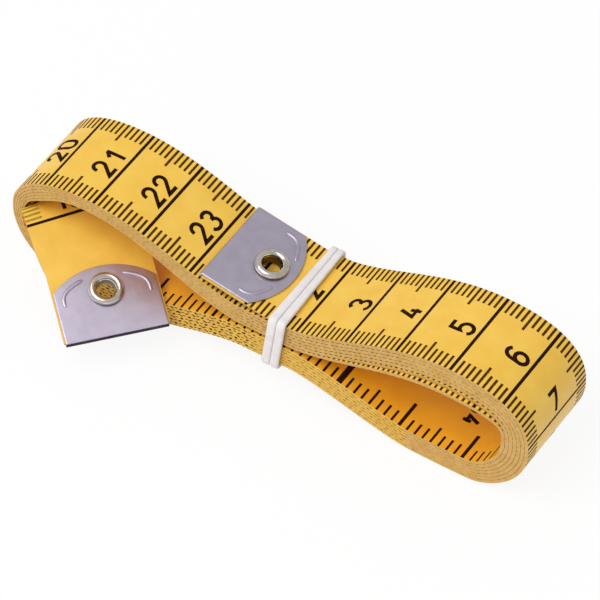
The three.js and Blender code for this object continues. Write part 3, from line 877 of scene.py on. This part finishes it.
def pierce(piece, tip):
    """Cuts the eyelet's bore through a piece that lies in a tip."""
    angles = np.linspace(0, 2 * np.pi, EYELET_SIDES, endpoint=False)
    x = np.tile(EYELET_FROM_FOLD + EYELET_BORE / 2 * np.cos(angles), (2, 1))
    y = np.tile(EYELET_BORE / 2 * np.sin(angles), (2, 1))
    z = np.repeat([[-CUTTER_REACH], [CUTTER_REACH]], EYELET_SIDES, axis=1)
    points, faces = swept(tip_points(tip, x, y, z), False)
    cutter = mesh_object("cutter", points, faces, [])
    cut = piece.modifiers.new("bore", "BOOLEAN")
    cut.operation = "DIFFERENCE"
    cut.object = cutter
    graph = bpy.context.evaluated_depsgraph_get()
    piece.data = bpy.data.meshes.new_from_object(piece.evaluated_get(graph))
    piece.data.set_sharp_from_angle(angle=math.radians(SHARP))
    piece.modifiers.clear()
    bpy.data.objects.remove(cutter)


def clip_sheet(name, tip, lit_steps):
    """A sheet folded over the tape's end, with a short back and a rounded, eased front edge.

    Past its first lit_steps the fold is painted dark: painted shade and painted dark reflection on its lower
    side.
    """
    half = CLIP_WIDTH / 2
    outer = CLIP_THICKNESS / 2
    inner = outer - CLIP_SHEET
    ease = np.linspace(0, np.pi / 2, CLIP_EASE_STEPS)
    side = half - CLIP_EASE * (1 - np.sin(ease))
    level = np.linspace(CLIP_EASE - half, half - CLIP_EASE, CLIP_COLUMNS)[1:-1]
    y = np.concatenate([-side[::-1], level, side])[:, None]
    lost = np.clip(np.abs(y) - half + CLIP_EASE, 0, CLIP_EASE)
    skin = outer - CLIP_EASE + np.sqrt(CLIP_EASE**2 - lost**2)
    front = CLIP_REACH - CLIP_RADIUS + np.sqrt(CLIP_RADIUS**2 - y**2)
    back = np.minimum(front, CLIP_BACK)
    bend = np.linspace(np.pi / 2, 3 * np.pi / 2, FOLD_STEPS + 1)
    x = np.concatenate([
        front - CLIP_EASE * (1 - np.cos(ease)), outer + skin * np.cos(bend), back, back,
        outer + inner * np.cos(bend[::-1]) + 0 * y, front,
    ], axis=1)
    z = np.concatenate([
        skin - CLIP_EASE * (1 - np.sin(ease)), skin * np.sin(bend), -skin, -inner + 0 * y,
        inner * np.sin(bend[::-1]) + 0 * y, inner + 0 * y,
    ], axis=1)
    points, faces = swept(tip_points(tip, x, np.broadcast_to(y, x.shape), z), False)
    column = np.arange(x.shape[1])
    # Fold faces past the lit steps carry the painted shade
    painted_shade = (column >= len(ease) + lit_steps) & (column < len(ease) + FOLD_STEPS)
    indices = np.concatenate([np.tile(painted_shade, len(y) - 1), [0, 0]])
    sheet = mesh_object(name, points, faces, [steel, fold_painted_shade], indices)
    pierce(sheet, tip)
    return sheet


def eyelet(name, tip):
    """A barrel through the tip with a rolled rim on its face and a flat foot behind, with painted shade in
    its bore and under its rim.
    """
    seat = CLIP_THICKNESS / 2 + EYELET_SEAT
    foot_z = -seat - EYELET_FOOT_HEIGHT
    sizes = (EYELET_HOLE, EYELET_RIM, EYELET_BARREL, EYELET_FOOT)
    hole, rim, barrel, foot = (size / 2 for size in sizes)
    roll = np.radians(np.linspace(EYELET_ROLL_FROM, EYELET_ROLL_TO, EYELET_ROLL_STEPS))
    roll_x = (rim + hole) / 2 + (rim - hole) / 2 * np.cos(roll)
    roll_z = seat + EYELET_RIM_HEIGHT * lerp(np.sin(roll), 1, EYELET_RIM_BASE)
    base = np.array([
        (hole, foot_z), (foot, foot_z), (foot, -seat), (barrel, -seat), (barrel, seat),
        (rim - EYELET_RIM_UNDERCUT, seat),
    ])
    profile = np.concatenate([base, np.stack([roll_x, roll_z], axis=1)])
    angles = np.linspace(0, 2 * np.pi, EYELET_SIDES, endpoint=False)
    x = EYELET_FROM_FOLD + np.multiply.outer(np.cos(angles), profile[:, 0])
    y = np.multiply.outer(np.sin(angles), profile[:, 0])
    z = np.broadcast_to(profile[:, 1], x.shape)
    points, faces = swept(tip_points(tip, x, y, z), True)
    side = np.arange(len(profile))
    # The bore and the faces under the rolled rim carry the painted shade
    painted_shade = (side == len(profile) - 1) | (np.abs(side - len(base)) <= 1)
    return mesh_object(name, points, faces, [nickel, painted_shade_nickel], np.tile(painted_shade, EYELET_SIDES))


def bead(name, tip, side):
    """A pressed bead on the tip's face, along its rounded edge and then its side edge."""
    radius = CLIP_RADIUS - BEAD_INSET
    middle = CLIP_REACH - CLIP_RADIUS
    edge = CLIP_WIDTH / 2 - BEAD_INSET
    turn = math.asin(edge / radius)
    corner = np.array([middle + radius * math.cos(turn), edge])
    start = math.asin(BEAD_FROM_MIDDLE / radius)
    angles = np.linspace(start, turn - BEAD_CORNER / radius, BEAD_EDGE_STEPS)
    round_edge = np.stack([middle + radius * np.cos(angles), radius * np.sin(angles)], axis=1)
    back = np.linspace(BEAD_CORNER, BEAD_SIDE_LENGTH, BEAD_SIDE_STEPS)
    straight = np.stack([corner[0] - back, np.full(len(back), edge)], axis=1)
    share = np.linspace(0, 1, BEAD_BEND_STEPS)[1:-1, None]
    bend = (1 - share) ** 2 * round_edge[-1] + 2 * share * (1 - share) * corner + share**2 * straight[0]
    line = np.concatenate([round_edge, bend, straight])
    way = unit(np.gradient(line, axis=0))
    narrowing = np.linspace(-1, 1, len(line)) ** BEAD_END_POWER
    half = BEAD_WIDTH / 2 * np.sqrt(np.clip(1 - narrowing, BEAD_END_LEAST, 1))
    turns = np.linspace(0, 2 * np.pi, BEAD_ROUND_STEPS, endpoint=False)
    x = line[:, :1] - np.multiply.outer(way[:, 1] * half, np.cos(turns))
    y = line[:, 1:] + np.multiply.outer(way[:, 0] * half, np.cos(turns))
    z = CLIP_THICKNESS / 2 + np.multiply.outer(half / half.max(), BEAD_HEIGHT * np.sin(turns))
    points, faces = swept(tip_points(tip, x, side * y, z), False)
    if side < 0:
        faces = [face[::-1] for face in faces]
    return mesh_object(name, points, faces, [pressed])


def rubber_band():
    """Two strands round the waist, one loop, which change places underneath."""
    offset = OUTER_FACE + BAND_CLEARANCE + BAND_THICKNESS / 2
    radius = BAND_CORNER + BAND_THICKNESS / 2
    side = EDGE_AT + BAND_CLEARANCE + BAND_THICKNESS / 2 - radius
    top, bottom = WAIST_TOP + offset - radius, WAIST_BOTTOM - offset + radius
    points = []
    for strand in (-1, 1):
        x = BAND_MIDDLE + strand * BAND_STRAND_PITCH / 2
        for y, z, start in ((side, bottom, -90), (side, top, 0), (-side, top, 90), (-side, bottom, 180)):
            for angle in np.radians(np.linspace(start, start + 90, BAND_CORNER_STEPS + 1)):
                points.append((x, y + radius * math.cos(angle), z + radius * math.sin(angle)))
        for i in range(1, BAND_CROSS_STEPS):
            done = i / BAND_CROSS_STEPS
            crossed = smoothstep((done - BAND_DIP_SHARE) / (1 - 2 * BAND_DIP_SHARE))
            dipped = smoothstep(min(done, 1 - done) / BAND_DIP_SHARE) if strand < 0 else 0
            cross_x = x - strand * BAND_STRAND_PITCH * crossed
            cross_z = bottom - radius - (BAND_THICKNESS + BAND_CROSS_GAP) * dipped
            points.append((cross_x, lerp(-side, side, done), cross_z))
    line = np.array(points)
    height = (line[:, 2] - bottom) / (top - bottom)
    stretched = smoothstep(height) * smoothstep((line[:, 1] + EDGE_AT) / EDGE_AT)
    share = lerp(1, BAND_TOP_SHARE, stretched)
    line[:, 0] = lerp(BAND_MIDDLE, line[:, 0], share)
    line[:, 0] -= BAND_LEAN * (1 + line[:, 1] / EDGE_AT) / 2 + BAND_FOOT_LEAN * np.clip(1 - height, 0, 1)
    way = unit(np.roll(line, -1, axis=0) - np.roll(line, 1, axis=0))
    across = np.broadcast_to([1.0, 0, 0], line.shape)
    out = unit(np.cross(way, across))
    angles = np.linspace(0, 2 * np.pi, BAND_SIDE_STEPS, endpoint=False)
    power = 2 / BAND_ROUNDNESS
    u = np.sign(np.cos(angles)) * np.abs(np.cos(angles)) ** power * BAND_STRAND / 2
    v = np.sign(np.sin(angles)) * np.abs(np.sin(angles)) ** power * BAND_THICKNESS / 2
    width = share[:, None] * u
    rings = line[:, None] + width[:, :, None] * across[:, None] + v[None, :, None] * out[:, None]
    skin, faces = swept(rings, True)
    return mesh_object("band_strands", skin, faces, [rubber], sharp=BAND_SHARP)


outer_clip = clip_sheet("outer_tip_sheet", OUTER_TIP, FOLD_STEPS)
inner_clip = clip_sheet("inner_tip_sheet", INNER_TIP, INNER_FOLD_LIT_STEPS)
pierce(cloth_outer, OUTER_TIP)
pierce(cloth_tail, INNER_TIP)
outer_eyelet = eyelet("outer_eyelet_rolled", OUTER_TIP)
inner_eyelet = eyelet("inner_eyelet_rolled", INNER_TIP)
BEAD_SIDES = {"near": -1, "far": 1}
beads = {
    "outer_end": [bead(f"outer_tip_bead_{name}", OUTER_TIP, side) for name, side in BEAD_SIDES.items()],
    "inner_end": [bead(f"inner_tip_bead_{name}", INNER_TIP, side) for name, side in BEAD_SIDES.items()],
}
band = rubber_band()


# Bodies that pieces ride on, and CAD parts that are hidden
def tape_point(length):
    return tuple(metres(on_tape(np.array([length]), np.zeros(1), np.zeros(1)))[0])


tape_point(FLEX_FROM_FOLD + BAND_LEFT)
tape_point(FLEX_FROM_FOLD - FLEX_GAP)
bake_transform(cloth_outer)
tape_point(TAPE_LENGTH - FLEX_FROM_FOLD - TAIL_FLEX_RUN)
tape_point(TAPE_LENGTH - FLEX_FROM_FOLD + FLEX_GAP)
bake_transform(cloth_tail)
for piece in (cloth_roll, numbers_outside, numbers_inside, numbers_tail):
    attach(piece, "roll")
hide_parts("tape_winding")
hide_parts("tape_outer_end")
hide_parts("tape_inner_end")
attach(outer_clip, "outer_end")
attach(inner_clip, "inner_end")
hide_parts("outer_tip_clip")
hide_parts("inner_tip_clip")
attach(outer_eyelet, "outer_end")
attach(inner_eyelet, "inner_end")
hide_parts("outer_tip_eyelet")
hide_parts("inner_tip_eyelet")
for body, pieces in beads.items():
    for piece in pieces:
        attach(piece, body)
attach(band, "band")
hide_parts("rubber_band")


# Floor, light and camera
def floor_material():
    """Most of the floor's white is its own, seen straight or in metal, so that shadows on it are faint."""
    material, tree, shader = new_material("floor")
    tone = noise(tree, FLOOR_MOTTLE, MOTTLE_DETAIL)
    dark, light = FLOOR_GREYS
    tree.links.new(ramp(tree, tone, grey(dark), grey(light)), shader.inputs["Base Color"])
    shader.inputs["Roughness"].default_value = FLOOR_ROUGHNESS
    shader.inputs["Specular IOR Level"].default_value = 0
    rays = tree.nodes.new("ShaderNodeLightPath")
    looks = rays.outputs["Is Camera Ray"]
    for ray in ("Is Glossy Ray", "Is Transmission Ray"):
        either = tree.nodes.new("ShaderNodeMath")
        either.operation = "MAXIMUM"
        tree.links.new(looks, either.inputs[0])
        tree.links.new(rays.outputs[ray], either.inputs[1])
        looks = either.outputs["Value"]
    glow = tree.nodes.new("ShaderNodeEmission")
    share = tree.nodes.new("ShaderNodeMath")
    share.operation = "MULTIPLY"
    share.inputs[1].default_value = FLOOR_GLOW
    tree.links.new(looks, share.inputs[0])
    mix = tree.nodes.new("ShaderNodeMixShader")
    tree.links.new(share.outputs["Value"], mix.inputs["Fac"])
    tree.links.new(shader.outputs["BSDF"], mix.inputs[1])
    tree.links.new(glow.outputs["Emission"], mix.inputs[2])
    tree.links.new(mix.outputs["Shader"], tree.nodes["Material Output"].inputs["Surface"])
    return material


def placed(name, data, right, back, place):
    """A lamp or camera at a place in metres, with its own x axis along right and its back turned to back."""
    thing = bpy.data.objects.new(name, data)
    bpy.context.scene.collection.objects.link(thing)
    axes = np.column_stack([right, np.cross(back, right), back, place])
    thing.matrix_world = Matrix(np.vstack([axes, [0, 0, 0, 1]]).tolist())
    return thing


corners = [(x * FLOOR_HALF, y * FLOOR_HALF, 0) for x, y in ((-1, -1), (1, -1), (1, 1), (-1, 1))]
floor_mesh = bpy.data.meshes.new("floor")
floor_mesh.from_pydata(corners, [], [(0, 1, 2, 3)])
floor_mesh.materials.append(floor_material())
floor = bpy.data.objects.new("floor", floor_mesh)
bpy.context.scene.collection.objects.link(floor)
floor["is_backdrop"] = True

lamp = bpy.data.lights.new("key", "AREA")
lamp.size = LAMP_SIZE
lamp.energy = LAMP_POWER
lamp_back = unit(LAMP_PLACE)
placed("key", lamp, unit(np.cross([0, 0, 1], lamp_back)), lamp_back, LAMP_PLACE)

world = bpy.data.worlds.new("studio")
world.use_nodes = True
bpy.context.scene.world = world
sky = world.node_tree.nodes["Background"]
sky.inputs["Color"].default_value = grey(1)
sky.inputs["Strength"].default_value = SKY_STRENGTH

level = math.cos(ELEVATION)
right = np.array([math.cos(AZIMUTH), math.sin(AZIMUTH), 0])
back = np.array([math.sin(AZIMUTH) * level, -math.cos(AZIMUTH) * level, math.sin(ELEVATION)])
eye = AIM_RIGHT * right + AIM_UP * np.cross(back, right) + DISTANCE * back + FIT_TO_ROLL
lens = bpy.data.cameras.new("camera")
lens.sensor_width = SENSOR
lens.lens = LENS_PIXELS * SENSOR / PHOTO_PIXELS
lens.clip_start = CAMERA_NEAR
lens.clip_end = CAMERA_FAR
bpy.context.scene.camera = placed("camera", lens, right, back, metres(eye))
bpy.context.scene.view_settings.view_transform = "Standard"

boxes = {"cad": cad_box, "visual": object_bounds()}
{name: [list(corner) for corner in box] for name, box in boxes.items()}
